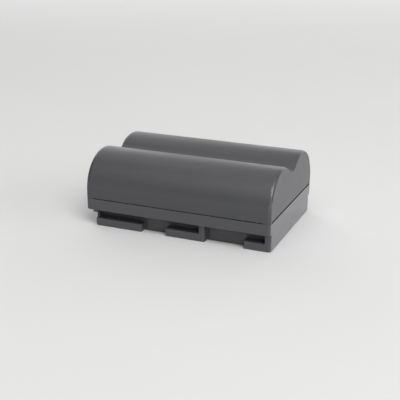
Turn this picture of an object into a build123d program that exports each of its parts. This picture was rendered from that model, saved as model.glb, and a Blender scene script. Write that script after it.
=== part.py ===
"""Twin-cell camera battery: a welded two-part case, two round cells, a circuit board and contacts.

Millimetres, +Z up. The origin is at the bottom centre of the case. +X points to the closed end,
-X to the terminal end, and the pack is built from the cells outwards.
"""
import os
from math import atan2, degrees, radians, sin, sqrt

from build123d import *

# Cells
CAN_DIAMETER = 18.1
CELL_LENGTH = 49.75
CAN_EDGE_BEVEL = 0.8
BEAD_FROM_RIM = 3.2
BEAD_WIDTH = 1.6
BEAD_DEPTH = 0.8
BEAD_SIDE_ANGLE = 60.0
CAP_DIAMETER = 8.6
CAP_STANDOFF = 0.1
CAP_WELL_DIAMETER = 11.6
CAP_WELL_DEPTH = 0.6
SLEEVE_WALL = 0.1
SLEEVE_LIP = 1.9
RING_THICKNESS = 0.15
CELL_GAP = 0.3

# Case walls and clearances
CASE_WALL = 1.1
FLOOR_THICKNESS = 1.3
CELL_CLEARANCE = 0.2
CRADLE_WALL = 0.75
RECESS_WALL = 0.85
CENTRE_RIB_WIDTH = 1.2
CENTRE_RIB_HEIGHT = 3.0
DRAFT_ANGLE = 0.5
CORNER_RADIUS = 1.7
CORNER_TURN = 45.0
VALLEY_RADIUS = 4.6

# Seam between the two halves
SKIRT_HEIGHT = 3.5
SEAM_REVEAL = 0.2
SEAM_LAND = 0.25
LIP_HEIGHT = 1.0
LIP_THICKNESS = 0.45
LIP_CLEARANCE = 0.05

# Hooked rails along both long sides, measured from the closed end
RAIL_INSET = 1.1
RECESS_DEPTH = 3.5
FOOT_HEIGHT = 2.3
SLOT_HEIGHT = 2.85
CORNER_FOOT_LENGTH = 8.0
CORNER_POST_LENGTH = 1.85
REAR_GAP_LENGTH = 11.55
MIDDLE_FOOT_LENGTH = 11.95
MIDDLE_POST_LENGTH = 1.6
FRONT_GAP_LENGTH = 7.6
TERMINAL_POST_LENGTH = 0.6
TERMINAL_POST_SETBACK = 1.0
FOOT_EDGE_BEVEL = 0.3
RAIL_CORNER_RADIUS = 0.5

# Terminal end
TERMINAL_RECESS = 2.3
TERMINAL_STEP_LENGTH = 0.7
TERMINAL_STEP_DROP = 1.1
TERMINAL_SLOT_WIDTH = 2.0
TERMINAL_SLOT_BRIDGE = 1.15
TERMINAL_PITCH = 5.0
CONTACT_THICKNESS = 0.25
CONTACT_WIDTH = 3.4
CONTACT_SOLDER_LENGTH = 1.6
CONTACT_CORNER_BEVEL = 0.4

# Label field under the floor
FIELD_DEPTH = 0.2
FIELD_END_MARGIN = 5.0
FIELD_SIDE_MARGIN = 2.75
FIELD_RADIUS = 1.5

# Strips, sheets and bedding
STRIP_THICKNESS = 0.15
STRIP_WIDTH = 5.0
STRIP_REACH = 4.0
STRIP_TAIL = 2.0
LINK_WIDTH = 7.0
WELD_SLIT_LENGTH = 3.6
WELD_SLIT_WIDTH = 0.5
RIBBON_WIDTH = 2.0
RIBBON_THICKNESS = 0.1
SHEET_THICKNESS = 0.2
LINK_SHEET_HEADROOM = 0.65
LINK_SHEET_MARGIN = 1.6
PAD_THICKNESS = 0.4
PAD_WIDTH = 5.0
PAD_END_MARGIN = 5.0

# Circuit board and its parts
BOARD_THICKNESS = 0.8
BOARD_CLEARANCE = 0.2
BOARD_HEADROOM = 1.0
NOTCH_CLEARANCE = 0.3
CHIP_BODY = (1.0, 4.4, 3.0)
CHIP_LEADS = 4
CHIP_LEAD_PITCH = 0.65
CHIP_LEAD_WIDTH = 0.3
CHIP_LEAD_REACH = 0.9
CHIP_LEAD_THICKNESS = 0.2
TRANSISTOR_BODY = (1.1, 3.9, 4.9)
TRANSISTOR_LEAD_PITCH = 1.27
TRANSISTOR_LEAD_WIDTH = 0.42
FUSE_SIZE = (0.8, 3.2, 1.6)
THERMISTOR_SIZE = (0.8, 1.25, 2.0)
CHIP_PART_SIZE = (0.5, 0.8, 1.6)
CHIP_PART_PITCH = 1.5
CHIP_PART_COLUMNS = 3
CHIP_PART_ROW_GAP = 0.5
MOULDED_PARTS_INSET = 3.8
EDGE_PARTS_INSET = 5.95

# Sizes that follow from the cells outwards
SLEEVE_RADIUS = CAN_DIAMETER / 2 + SLEEVE_WALL
CELL_OFFSET = SLEEVE_RADIUS + CELL_GAP / 2
CAVITY_RADIUS = SLEEVE_RADIUS + CELL_CLEARANCE
HUMP_RADIUS = CAVITY_RADIUS + CASE_WALL
CAP_HEIGHT = RING_THICKNESS + SLEEVE_WALL + CAP_STANDOFF
AXIS_HEIGHT = FLOOR_THICKNESS + PAD_THICKNESS + SLEEVE_RADIUS
WIDTH = 2 * (CELL_OFFSET + HUMP_RADIUS)
HEIGHT = AXIS_HEIGHT + HUMP_RADIUS
CELL_END_STACK = STRIP_THICKNESS + SHEET_THICKNESS
TERMINAL_STACK = TERMINAL_RECESS + CASE_WALL + CONTACT_THICKNESS + BOARD_THICKNESS + CELL_END_STACK
LENGTH = TERMINAL_STACK + CELL_LENGTH + CELL_END_STACK + CASE_WALL
OVERHANG_HEIGHT = FOOT_HEIGHT + SLOT_HEIGHT
LEDGE_HEIGHT = OVERHANG_HEIGHT + CASE_WALL
SEAM_HEIGHT = OVERHANG_HEIGHT + SKIRT_HEIGHT
SEAM_REVEAL_DEPTH = CASE_WALL - LIP_THICKNESS - LIP_CLEARANCE - SEAM_LAND
END_TRIM = CORNER_RADIUS * (1 - sin(radians(CORNER_TURN)))
VALLEY_AXIS_RISE = sqrt((HUMP_RADIUS + VALLEY_RADIUS) ** 2 - CELL_OFFSET**2)
VALLEY_CEILING = AXIS_HEIGHT + VALLEY_AXIS_RISE - VALLEY_RADIUS - CASE_WALL
BOARD_TOP = VALLEY_CEILING - BOARD_HEADROOM
TERMINAL_SLOT_TOP = OVERHANG_HEIGHT - TERMINAL_SLOT_BRIDGE
CONTACT_TOP = LEDGE_HEIGHT + CONTACT_SOLDER_LENGTH
PARTS_ROW_HEIGHT = (CONTACT_TOP + BOARD_TOP - STRIP_TAIL) / 2

# Places along the length, from the terminal end to the closed end
CLOSED_END = LENGTH / 2
TERMINAL_END = -CLOSED_END
TERMINAL_FACE = TERMINAL_END + TERMINAL_RECESS
CONTACT_FACE = TERMINAL_FACE + CASE_WALL
BOARD_FACE = CONTACT_FACE + CONTACT_THICKNESS
BOARD_BACK = BOARD_FACE + BOARD_THICKNESS
STRIP_FACE = BOARD_BACK + SHEET_THICKNESS
CELL_START = STRIP_FACE + STRIP_THICKNESS
CELL_STOP = CELL_START + CELL_LENGTH
LINK_BACK = CELL_STOP + STRIP_THICKNESS
CLOSED_WALL = LINK_BACK + SHEET_THICKNESS
CHAMBER_START = TERMINAL_END + CASE_WALL

# Places across the width
SIDE = WIDTH / 2
SIDE_INNER = SIDE - CASE_WALL
RAIL_FACE = SIDE - RAIL_INSET
RECESS_FACE = SIDE - RECESS_DEPTH
RECESS_INNER = RECESS_FACE - RECESS_WALL
MOULDED_PARTS_Y = CELL_OFFSET - MOULDED_PARTS_INSET
EDGE_PARTS_Y = SIDE_INNER - BOARD_CLEARANCE - EDGE_PARTS_INSET

# A cut runs this far past the face that it opens, and two places this close are the same
OVERCUT = 2.0
TINY = 0.01


def span(x0, x1, y0, y1, z0, z1):
    """Block between two corners."""
    size = Box(x1 - x0, y1 - y0, z1 - z0)
    return Pos((x0 + x1) / 2, (y0 + y1) / 2, (z0 + z1) / 2) * size


def along_x(sketch, x0, x1):
    """Sketch of the cross-section, extruded from x0 to x1."""
    return extrude(Plane.YZ.offset(x0) * sketch, x1 - x0)


def both_sides(shape):
    """A shape and its mirror image across the middle of the width."""
    return shape + mirror(shape, about=Plane.XZ)


def frame_at(height, facing):
    """Level plane at a height, facing up (1) or down (-1)."""
    return Plane(origin=(0, 0, height), x_dir=(1, 0, 0), z_dir=(0, 0, facing))


def hump_section(inset):
    """Cross-section of the cover above the seam, drawn inside its outer skin by the inset."""
    hump = HUMP_RADIUS - inset
    valley = VALLEY_RADIUS + inset
    side = CELL_OFFSET + hump
    turn = degrees(atan2(VALLEY_AXIS_RISE, -CELL_OFFSET))
    opening = degrees(atan2(CELL_OFFSET, VALLEY_AXIS_RISE))
    right_wall = Line((side, SEAM_HEIGHT), (side, AXIS_HEIGHT))
    right_hump = CenterArc((CELL_OFFSET, AXIS_HEIGHT), hump, 0, turn)
    valley_axis = (0, AXIS_HEIGHT + VALLEY_AXIS_RISE)
    valley_arc = CenterArc(valley_axis, valley, 270 + opening, -2 * opening)
    left_hump = CenterArc((-CELL_OFFSET, AXIS_HEIGHT), hump, 180 - turn, turn)
    left_wall = Line((-side, AXIS_HEIGHT), (-side, SEAM_HEIGHT))
    seam = Line((-side, SEAM_HEIGHT), (side, SEAM_HEIGHT))
    return make_face([right_wall, right_hump, valley_arc, left_hump, left_wall, seam])


def tray_section(clearance, top):
    """Cross-section of the room inside the lower case, up to a height, less a clearance all round."""
    floor = FLOOR_THICKNESS + clearance
    ledge = LEDGE_HEIGHT + clearance
    box_width = 2 * (RECESS_INNER - clearance)
    shelf_width = 2 * (SIDE_INNER - clearance)
    rooms = Pos(0, (floor + AXIS_HEIGHT) / 2) * Rectangle(box_width, AXIS_HEIGHT - floor)
    rooms += Pos(0, (ledge + AXIS_HEIGHT) / 2) * Rectangle(shelf_width, AXIS_HEIGHT - ledge)
    rooms += Pos(0, (floor + top) / 2) * Rectangle(2 * CELL_OFFSET, top - floor)
    for side in (-1, 1):
        rooms += Pos(side * CELL_OFFSET, AXIS_HEIGHT) * Circle(CAVITY_RADIUS - clearance)
    limit = Pos(0, (floor + top) / 2) * Rectangle(WIDTH, top - floor)
    return rooms & limit


def leaning_ends(facing, height):
    """Block from the seam up (1) or down (-1), as long as the case, whose ends lean inwards."""
    plan = Rectangle(LENGTH, 2 * WIDTH)
    return extrude(frame_at(SEAM_HEIGHT, facing) * plan, height, taper=DRAFT_ANGLE)


def seam_ring(outset, bottom, top):
    """Block around the room inside the case at the seam, larger than that room by the outset."""
    length = CLOSED_WALL - CHAMBER_START + 2 * outset
    plan = Rectangle(length, 2 * (SIDE_INNER + outset))
    return extrude(frame_at(bottom, 1) * plan, top - bottom)


def end_edges(shape):
    """Edges round both end faces of a cover, without those on the seam."""
    ends = shape.faces().sort_by(Axis.X)
    edges = ends[0].edges() + ends[-1].edges()
    return [edge for edge in edges if edge.center().Z > SEAM_HEIGHT + TINY]


def upper_case():
    """Cover with two humps over the cells, rounded ends, and a rebate that takes the tray's lip."""
    outer = along_x(hump_section(0), TERMINAL_END - END_TRIM, CLOSED_END + END_TRIM)
    outer = fillet(end_edges(outer), CORNER_RADIUS) & leaning_ends(1, HEIGHT)
    inner = along_x(hump_section(CASE_WALL), CHAMBER_START, CLOSED_WALL)
    rebate_top = SEAM_HEIGHT + LIP_HEIGHT + LIP_CLEARANCE
    rebate = seam_ring(LIP_THICKNESS + LIP_CLEARANCE, SEAM_HEIGHT, rebate_top)
    return outer - inner - rebate


def trimmed_plan(inset):
    """Outline of the case at the seam less an inset: rounded corners, cut flat at both ends."""
    width = WIDTH - 2 * inset
    rounded = RectangleRounded(LENGTH + 2 * (END_TRIM - inset), width, CORNER_RADIUS - inset)
    return rounded & Rectangle(LENGTH - 2 * inset, width)


def base_plan():
    """Outline of the base below the overhang, rounded at the terminal end and as the case is at the other."""
    length = CLOSED_END + END_TRIM - TERMINAL_FACE
    plan = Pos(TERMINAL_FACE + length / 2, 0) * Rectangle(length, 2 * RAIL_FACE)
    plan = fillet(plan.vertices().group_by(Axis.X)[0], RAIL_CORNER_RADIUS)
    return fillet(plan.vertices().group_by(Axis.X)[-1], CORNER_RADIUS)


def tray_body():
    """Outside of the lower case: a wall below the seam, overhanging a narrower base."""
    plan = RectangleRounded(LENGTH + 2 * END_TRIM, WIDTH, CORNER_RADIUS)
    body = extrude(frame_at(SEAM_HEIGHT, -1) * plan, SEAM_HEIGHT, taper=DRAFT_ANGLE)
    body &= leaning_ends(-1, SEAM_HEIGHT)
    below = span(TERMINAL_END, CLOSED_END, -SIDE, SIDE, 0, OVERHANG_HEIGHT)
    body -= below - extrude(base_plan(), OVERHANG_HEIGHT)
    return chamfer(edges_at_height(body, 0), FOOT_EDGE_BEVEL) + terminal_step()


def edges_at_height(body, height):
    """Edges that lie level at a height."""
    return edges_between(body, height, height)


def edges_between(body, bottom, top):
    """Edges that reach from one height to another."""
    found = []
    for edge in body.edges():
        box = edge.bounding_box()
        if abs(box.min.Z - bottom) < TINY and abs(box.max.Z - top) < TINY:
            found.append(edge)
    return found


def terminal_step():
    """Low step under the overhang along the terminal face, as wide as the base."""
    start = TERMINAL_FACE - TERMINAL_STEP_LENGTH
    stop = TERMINAL_FACE + TERMINAL_POST_LENGTH
    low = OVERHANG_HEIGHT - TERMINAL_STEP_DROP
    return span(start, stop, -RAIL_FACE, RAIL_FACE, low, OVERHANG_HEIGHT)


def rail_runs():
    """Gaps and slots of the rails along X, as (start, stop) pairs, from the closed end on."""
    corner_foot = CLOSED_END - CORNER_FOOT_LENGTH
    rear_gap = corner_foot - REAR_GAP_LENGTH
    middle_foot = rear_gap - MIDDLE_FOOT_LENGTH
    front_gap = middle_foot - FRONT_GAP_LENGTH
    gaps = [(rear_gap, corner_foot), (front_gap, middle_foot)]
    slots = [
        (corner_foot, CLOSED_END - CORNER_POST_LENGTH),
        (middle_foot, rear_gap - MIDDLE_POST_LENGTH),
        (TERMINAL_FACE + TERMINAL_POST_LENGTH, front_gap),
    ]
    return gaps, slots


def rail_cuts():
    """What is taken out of one side, down to the cell's cradle: gaps, hook slots, the set-back end post."""
    gaps, slots = rail_runs()
    cuts = Part()
    for start, stop in gaps:
        cuts += span(start, stop, RECESS_FACE, SIDE, -OVERCUT, OVERHANG_HEIGHT)
    for start, stop in slots:
        cuts += span(start, stop, RECESS_FACE, SIDE, FOOT_HEIGHT, OVERHANG_HEIGHT)
    cuts += span(
        TERMINAL_FACE - OVERCUT, slots[-1][0], RAIL_FACE - TERMINAL_POST_SETBACK, SIDE,
        FOOT_HEIGHT, OVERHANG_HEIGHT - TERMINAL_STEP_DROP
    )
    cradle = Pos(CELL_OFFSET, AXIS_HEIGHT) * Circle(CAVITY_RADIUS + CRADLE_WALL)
    return cuts - along_x(cradle, TERMINAL_END, CLOSED_END)


def foot_ends(body):
    """Upright outer edges at the free ends of the feet, and on the gap's side of the middle post."""
    gaps, _ = rail_runs()
    ends = [place for gap in gaps for place in gap]
    uprights = edges_between(body, FOOT_EDGE_BEVEL, FOOT_HEIGHT)
    uprights += edges_between(body, FOOT_EDGE_BEVEL, OVERHANG_HEIGHT)
    found = []
    for edge in uprights:
        at_end = min(abs(edge.center().X - end) for end in ends) < TINY
        if at_end and abs(edge.center().Y) > RAIL_FACE - TINY:
            found.append(edge)
    return found


def terminal_places():
    """Places across the width of the four terminals."""
    return [(index - 1.5) * TERMINAL_PITCH for index in range(4)]


def lower_case():
    """Tray with hooked rails, cell cradles, terminal slots, a label field and the seam's lip."""
    body = tray_body() - both_sides(rail_cuts())
    body = chamfer(foot_ends(body), FOOT_EDGE_BEVEL)
    lip = seam_ring(LIP_THICKNESS, SEAM_HEIGHT, SEAM_HEIGHT + LIP_HEIGHT)
    inside = along_x(tray_section(0, SEAM_HEIGHT + OVERCUT), CONTACT_FACE, CLOSED_WALL)
    chamber = span(
        CHAMBER_START, CONTACT_FACE, -SIDE_INNER, SIDE_INNER, LEDGE_HEIGHT, SEAM_HEIGHT + OVERCUT
    )
    body = body + lip - inside - chamber + centre_rib()
    for place in terminal_places():
        half = TERMINAL_SLOT_WIDTH / 2
        body -= span(
            TERMINAL_FACE - OVERCUT, CONTACT_FACE, place - half, place + half, -OVERCUT, TERMINAL_SLOT_TOP
        )
    return body - label_field() - seam_reveal()


def centre_rib():
    """Rib on the floor that keeps the two cells apart."""
    half = CENTRE_RIB_WIDTH / 2
    top = FLOOR_THICKNESS + CENTRE_RIB_HEIGHT
    return span(CELL_START, CLOSED_WALL, -half, half, FLOOR_THICKNESS, top)


def label_field():
    """Shallow bare field sunk into the underside of the floor."""
    length = CLOSED_END - TERMINAL_FACE - 2 * FIELD_END_MARGIN
    width = 2 * (RECESS_FACE - FIELD_SIDE_MARGIN)
    plan = RectangleRounded(length, width, FIELD_RADIUS)
    return extrude(Pos((TERMINAL_FACE + CLOSED_END) / 2, 0) * plan, FIELD_DEPTH)


def seam_reveal():
    """Shallow step round the outside just below the seam, which leaves a thin shadow line."""
    step = Rectangle(LENGTH + OVERCUT, WIDTH + OVERCUT) - trimmed_plan(SEAM_REVEAL_DEPTH)
    return extrude(frame_at(SEAM_HEIGHT, -1) * step, SEAM_REVEAL)


def on_axis(shape, side, positive_at):
    """Shape drawn along +X from its negative end, set on the front (-1) or rear (1) cell's axis."""
    start = CELL_START if positive_at > 0 else CELL_STOP
    turn = 0 if positive_at > 0 else 180
    return Pos(start, side * CELL_OFFSET, AXIS_HEIGHT) * Rot(0, 0, turn) * shape


def spun(sketch):
    """Half-section drawn as length and radius, revolved about the cell's axis."""
    return revolve(sketch, axis=Axis.X)


def cell_can():
    """Sealed can with its crimped rim, the bead below it and the raised cap."""
    radius = CAN_DIAMETER / 2
    rim = CELL_LENGTH - CAP_HEIGHT
    bead = rim - BEAD_FROM_RIM
    can = Pos(rim / 2, radius / 2) * Rectangle(rim, radius)
    outer_corners = can.vertices().filter_by(lambda vertex: vertex.Y > radius / 2)
    can = chamfer(outer_corners, CAN_EDGE_BEVEL)
    groove = Trapezoid(BEAD_WIDTH, BEAD_DEPTH, BEAD_SIDE_ANGLE, rotation=180)
    can -= Pos(bead, radius - BEAD_DEPTH / 2) * groove
    well_radius = CAP_WELL_DIAMETER / 2
    can -= Pos(rim - CAP_WELL_DEPTH / 2, well_radius / 2) * Rectangle(CAP_WELL_DEPTH, well_radius)
    cap_length = CAP_HEIGHT + CAP_WELL_DEPTH
    cap_radius = CAP_DIAMETER / 2
    can += Pos(CELL_LENGTH - cap_length / 2, cap_radius / 2) * Rectangle(cap_length, cap_radius)
    return spun(can)


def cell_ring():
    """Insulating ring that lies on the rim round the cap."""
    rim = CELL_LENGTH - CAP_HEIGHT
    inner = CAP_WELL_DIAMETER / 2
    outer = CAN_DIAMETER / 2 - CAN_EDGE_BEVEL
    middle = (inner + outer) / 2
    return spun(Pos(rim + RING_THICKNESS / 2, middle) * Rectangle(RING_THICKNESS, outer - inner))


def cell_sleeve():
    """Shrink sleeve: a thin tube with a lip folded over the ring at the positive end."""
    stop = CELL_LENGTH - CAP_HEIGHT + RING_THICKNESS + SLEEVE_WALL
    inner = CAN_DIAMETER / 2
    length = stop - CAN_EDGE_BEVEL
    tube = Pos(CAN_EDGE_BEVEL + length / 2, inner + SLEEVE_WALL / 2) * Rectangle(length, SLEEVE_WALL)
    lip = Pos(stop - SLEEVE_WALL / 2, inner - SLEEVE_LIP / 2) * Rectangle(SLEEVE_WALL, SLEEVE_LIP)
    return spun(tube + lip)


def weld_slits():
    """Slits that split a strip where it is welded, one over each cell's axis."""
    slits = Sketch()
    for side in (-1, 1):
        slits += Pos(side * CELL_OFFSET, AXIS_HEIGHT) * Rectangle(WELD_SLIT_WIDTH, WELD_SLIT_LENGTH)
    return slits


def ribbon_height():
    """Height at which the ribbon's edges lie in the valley between the two sleeves."""
    return AXIS_HEIGHT + sqrt(SLEEVE_RADIUS**2 - (CELL_OFFSET - RIBBON_WIDTH / 2) ** 2)


def series_link():
    """Nickel plate that joins the two cells at the closed end, with a tab up to the ribbon."""
    bar = Pos(0, AXIS_HEIGHT) * SlotOverall(2 * CELL_OFFSET + LINK_WIDTH, LINK_WIDTH)
    tab_top = ribbon_height() + RIBBON_THICKNESS
    tab = Pos(0, (AXIS_HEIGHT + tab_top) / 2) * Rectangle(RIBBON_WIDTH, tab_top - AXIS_HEIGHT)
    return along_x(bar + tab - weld_slits(), CELL_STOP, LINK_BACK)


def link_insulator():
    """Sheet between the series link and the closed end wall."""
    length = 2 * (SIDE_INNER - LINK_SHEET_MARGIN)
    height = 2 * (VALLEY_CEILING - LINK_SHEET_HEADROOM - AXIS_HEIGHT)
    sheet = Pos(0, AXIS_HEIGHT) * SlotOverall(length, height)
    return along_x(sheet, LINK_BACK, CLOSED_WALL)


def cell_strip(side):
    """Nickel strip welded to a cell's end, folded over the board's top edge and down its face."""
    place = side * CELL_OFFSET
    low = AXIS_HEIGHT - STRIP_REACH
    top = BOARD_TOP + STRIP_THICKNESS
    edges = (place - STRIP_WIDTH / 2, place + STRIP_WIDTH / 2)
    strip = span(STRIP_FACE, CELL_START, *edges, low, top)
    strip += span(BOARD_FACE - STRIP_THICKNESS, CELL_START, *edges, BOARD_TOP, top)
    strip += span(BOARD_FACE - STRIP_THICKNESS, BOARD_FACE, *edges, BOARD_TOP - STRIP_TAIL, top)
    return strip - along_x(weld_slits(), STRIP_FACE - OVERCUT, CELL_START)


def midpoint_ribbon():
    """Thin ribbon from the series link, along the valley between the cells, to the board's face."""
    low = ribbon_height()
    top = low + RIBBON_THICKNESS
    half = RIBBON_WIDTH / 2
    face = BOARD_FACE - RIBBON_THICKNESS
    ribbon = span(face, CELL_STOP, -half, half, low, top)
    return ribbon + span(face, BOARD_FACE, -half, half, low - STRIP_TAIL, top)


def board_outline():
    """Outline of the board: the room inside the case, cut level on top, with the ribbon's notch."""
    outline = tray_section(BOARD_CLEARANCE, BOARD_TOP)
    notch_width = RIBBON_WIDTH + 2 * NOTCH_CLEARANCE
    notch_height = 2 * (BOARD_TOP - ribbon_height())
    return outline - Pos(0, BOARD_TOP) * Rectangle(notch_width, notch_height)


def contact(place):
    """Contact plate behind a terminal slot, standing on the floor and soldered to the board's face."""
    height = CONTACT_TOP - FLOOR_THICKNESS
    plate = chamfer(Rectangle(CONTACT_WIDTH, height).vertices(), CONTACT_CORNER_BEVEL)
    return along_x(Pos(place, FLOOR_THICKNESS + height / 2) * plate, CONTACT_FACE, BOARD_FACE)


def board_part(size, y, z):
    """Block part on the board's face: size is its height off the board, width and length."""
    depth, width, length = size
    return span(BOARD_FACE - depth, BOARD_FACE, y - width / 2, y + width / 2, z - length / 2, z + length / 2)


def leaded_part(size, y, pitch, lead_width):
    """Moulded part in the board's row, with leads along its two upright sides."""
    body = board_part(size, y, PARTS_ROW_HEIGHT)
    lead = (CHIP_LEAD_THICKNESS, size[1] + 2 * CHIP_LEAD_REACH, lead_width)
    first = PARTS_ROW_HEIGHT - pitch * (CHIP_LEADS - 1) / 2
    for index in range(CHIP_LEADS):
        body += board_part(lead, y, first + index * pitch)
    return body


def chip_parts():
    """Two rows of small chip parts beside the moulded ones."""
    first = EDGE_PARTS_Y - CHIP_PART_PITCH * (CHIP_PART_COLUMNS - 1) / 2
    rise = (CHIP_PART_SIZE[2] + CHIP_PART_ROW_GAP) / 2
    parts = []
    for row in (PARTS_ROW_HEIGHT - rise, PARTS_ROW_HEIGHT + rise):
        for column in range(CHIP_PART_COLUMNS):
            parts.append(board_part(CHIP_PART_SIZE, first + column * CHIP_PART_PITCH, row))
    return parts


def cell_pad(side):
    """Adhesive foam strip that beds a cell on the floor."""
    place = side * CELL_OFFSET
    half = PAD_WIDTH / 2
    start = CELL_START + PAD_END_MARGIN
    stop = CELL_STOP - PAD_END_MARGIN
    top = FLOOR_THICKNESS + PAD_THICKNESS
    return span(start, stop, place - half, place + half, FLOOR_THICKNESS, top)


def nodes():
    """Every piece of the pack by name."""
    sheet = board_outline()
    pieces = {
        "upper_case": upper_case(),
        "lower_case": lower_case(),
        "series_link": series_link(),
        "link_insulator": link_insulator(),
        "positive_strip": cell_strip(-1),
        "negative_strip": cell_strip(1),
        "midpoint_ribbon": midpoint_ribbon(),
        "circuit_board": along_x(sheet, BOARD_FACE, BOARD_BACK),
        "board_insulator": along_x(sheet, BOARD_BACK, STRIP_FACE),
        "protection_chip": leaded_part(CHIP_BODY, MOULDED_PARTS_Y, CHIP_LEAD_PITCH, CHIP_LEAD_WIDTH),
        "power_transistor": leaded_part(
            TRANSISTOR_BODY, -MOULDED_PARTS_Y, TRANSISTOR_LEAD_PITCH, TRANSISTOR_LEAD_WIDTH
        ),
        "fuse": board_part(FUSE_SIZE, -EDGE_PARTS_Y, PARTS_ROW_HEIGHT),
        "thermistor": board_part(THERMISTOR_SIZE, 0, PARTS_ROW_HEIGHT),
        "chip_parts": Compound(children=chip_parts()),
    }
    for name, side, positive_at in (("front", -1, -1), ("rear", 1, 1)):
        pieces[f"{name}_cell"] = on_axis(cell_can(), side, positive_at)
        pieces[f"{name}_cell_sleeve"] = on_axis(cell_sleeve(), side, positive_at)
        pieces[f"{name}_cell_ring"] = on_axis(cell_ring(), side, positive_at)
        pieces[f"{name}_cell_pad"] = cell_pad(side)
    uses = ("positive", "temperature", "data", "negative")
    for use, place in zip(uses, terminal_places()):
        pieces[f"{use}_contact"] = contact(place)
    return pieces


def main():
    """Write each piece to its own file."""
    os.makedirs("parts", exist_ok=True)
    for name, shape in nodes().items():
        export_step(shape, f"parts/{name}.step")


main()
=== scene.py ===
"""Looks of a twin-cell camera battery: finishes, fine detail, stage, light and camera.

Metres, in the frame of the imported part: +X to the closed end, -X to the terminals, +Z up.
"""

import logging
import math
from dataclasses import dataclass, field
from enum import Enum
from typing import Any, Iterable, Iterator, Mapping, Sequence, Union

import bmesh
import bpy
from mathutils import Matrix, Vector


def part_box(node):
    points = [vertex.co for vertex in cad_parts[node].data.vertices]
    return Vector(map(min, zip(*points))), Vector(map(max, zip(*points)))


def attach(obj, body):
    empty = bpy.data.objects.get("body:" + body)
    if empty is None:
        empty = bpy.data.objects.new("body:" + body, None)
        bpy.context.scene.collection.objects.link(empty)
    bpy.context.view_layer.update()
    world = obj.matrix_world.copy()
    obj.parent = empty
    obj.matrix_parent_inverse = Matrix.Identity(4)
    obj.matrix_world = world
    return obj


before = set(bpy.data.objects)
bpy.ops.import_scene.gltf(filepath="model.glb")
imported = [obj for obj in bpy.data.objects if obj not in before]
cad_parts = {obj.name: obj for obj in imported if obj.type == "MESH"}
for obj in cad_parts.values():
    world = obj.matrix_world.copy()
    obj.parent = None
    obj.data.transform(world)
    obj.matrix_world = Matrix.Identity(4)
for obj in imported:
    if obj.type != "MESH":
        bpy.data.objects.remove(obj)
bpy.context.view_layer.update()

LOG = logging.getLogger("battery")
BODY = "root"
CELLS = ("front_cell", "rear_cell")
MM = 0.001

Colour = tuple[float, float, float]
Step = tuple[float, float]
Number = Union["Socket", float, int]
Paint = Union["Socket", Colour]
Input = Union["Socket", float, int, bool, Sequence[float], bpy.types.ID]

TIN: Colour = (0.66, 0.66, 0.64)


def box_of(node: str) -> tuple[Vector, Vector]:
    """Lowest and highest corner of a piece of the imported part."""
    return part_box(node)


def size_of(node: str) -> Vector:
    """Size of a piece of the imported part, in metres."""
    low, high = box_of(node)
    return high - low


def middle_of(node: str) -> Vector:
    """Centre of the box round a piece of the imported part."""
    low, high = box_of(node)
    return (low + high) / 2


def rgba(colour: Colour) -> tuple[float, float, float, float]:
    """Opaque colour with its alpha."""
    return (*colour, 1.0)


def shaded(colour: Colour, factor: float) -> Colour:
    """The same hue, lighter or darker by a factor."""
    return tuple(channel * factor for channel in colour)


def direction(azimuth: float, elevation: float) -> Vector:
    """Unit vector from the object; azimuth 0 is towards -Y and 90 degrees towards +X."""
    level = math.cos(elevation)
    return Vector((math.sin(azimuth) * level, -math.cos(azimuth) * level, math.sin(elevation)))


class Socket:
    """Output of a node, whose arithmetic adds Math nodes to the same tree."""

    def __init__(self, graph: "Graph", output: bpy.types.NodeSocket) -> None:
        """Keep the tree that new nodes go into, and the node's output."""
        self.graph = graph
        self.output = output

    def sibling(self, name: str) -> "Socket":
        """Another output of the same node."""
        return Socket(self.graph, self.output.node.outputs[name])

    def _math(self, operation: str, first: Number, second: Number = 0.0) -> "Socket":
        """Result of a Math node on one or two values."""
        return self.graph.node("ShaderNodeMath", {"operation": operation}, {0: first, 1: second})

    def __add__(self, other: Number) -> "Socket":
        """Sum."""
        return self._math("ADD", self, other)

    def __radd__(self, other: Number) -> "Socket":
        """Sum with a number on the left."""
        return self._math("ADD", other, self)

    def __sub__(self, other: Number) -> "Socket":
        """Difference."""
        return self._math("SUBTRACT", self, other)

    def __rsub__(self, other: Number) -> "Socket":
        """Difference from a number on the left."""
        return self._math("SUBTRACT", other, self)

    def __mul__(self, other: Number) -> "Socket":
        """Product."""
        return self._math("MULTIPLY", self, other)

    def __rmul__(self, other: Number) -> "Socket":
        """Product with a number on the left."""
        return self._math("MULTIPLY", other, self)

    def __truediv__(self, other: Number) -> "Socket":
        """Quotient."""
        return self._math("DIVIDE", self, other)

    def __rtruediv__(self, other: Number) -> "Socket":
        """Quotient of a number on the left."""
        return self._math("DIVIDE", other, self)

    def __abs__(self) -> "Socket":
        """Size without its sign."""
        return self._math("ABSOLUTE", self)

    def root(self) -> "Socket":
        """Square root."""
        return self._math("SQRT", self)

    def wrapped(self, step: float) -> "Socket":
        """What is left over after whole steps."""
        return self._math("MODULO", self, step)

    def folded(self, step: float) -> "Socket":
        """Value that runs up to a step and back down, again and again."""
        return self._math("PINGPONG", self, step)

    def at_least(self, other: Number) -> "Socket":
        """Larger of two values."""
        return self._math("MAXIMUM", self, other)

    def at_most(self, other: Number) -> "Socket":
        """Smaller of two values."""
        return self._math("MINIMUM", self, other)

    def rise(self, start: float, stop: float) -> "Socket":
        """Smooth step from 0 at start to 1 at stop; a stop below start turns it round.

        Args:
            start: Value at which the step starts.
            stop: Value at which the step is whole.

        Returns:
            The step, from 0 to 1.
        """
        low, high = min(start, stop), max(start, stop)
        ends = {"To Min": 0.0, "To Max": 1.0} if start < stop else {"To Min": 1.0, "To Max": 0.0}
        sockets = {"Value": self, "From Min": low, "From Max": high, **ends}
        return self.graph.node("ShaderNodeMapRange", {"interpolation_type": "SMOOTHSTEP"}, sockets)


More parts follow.
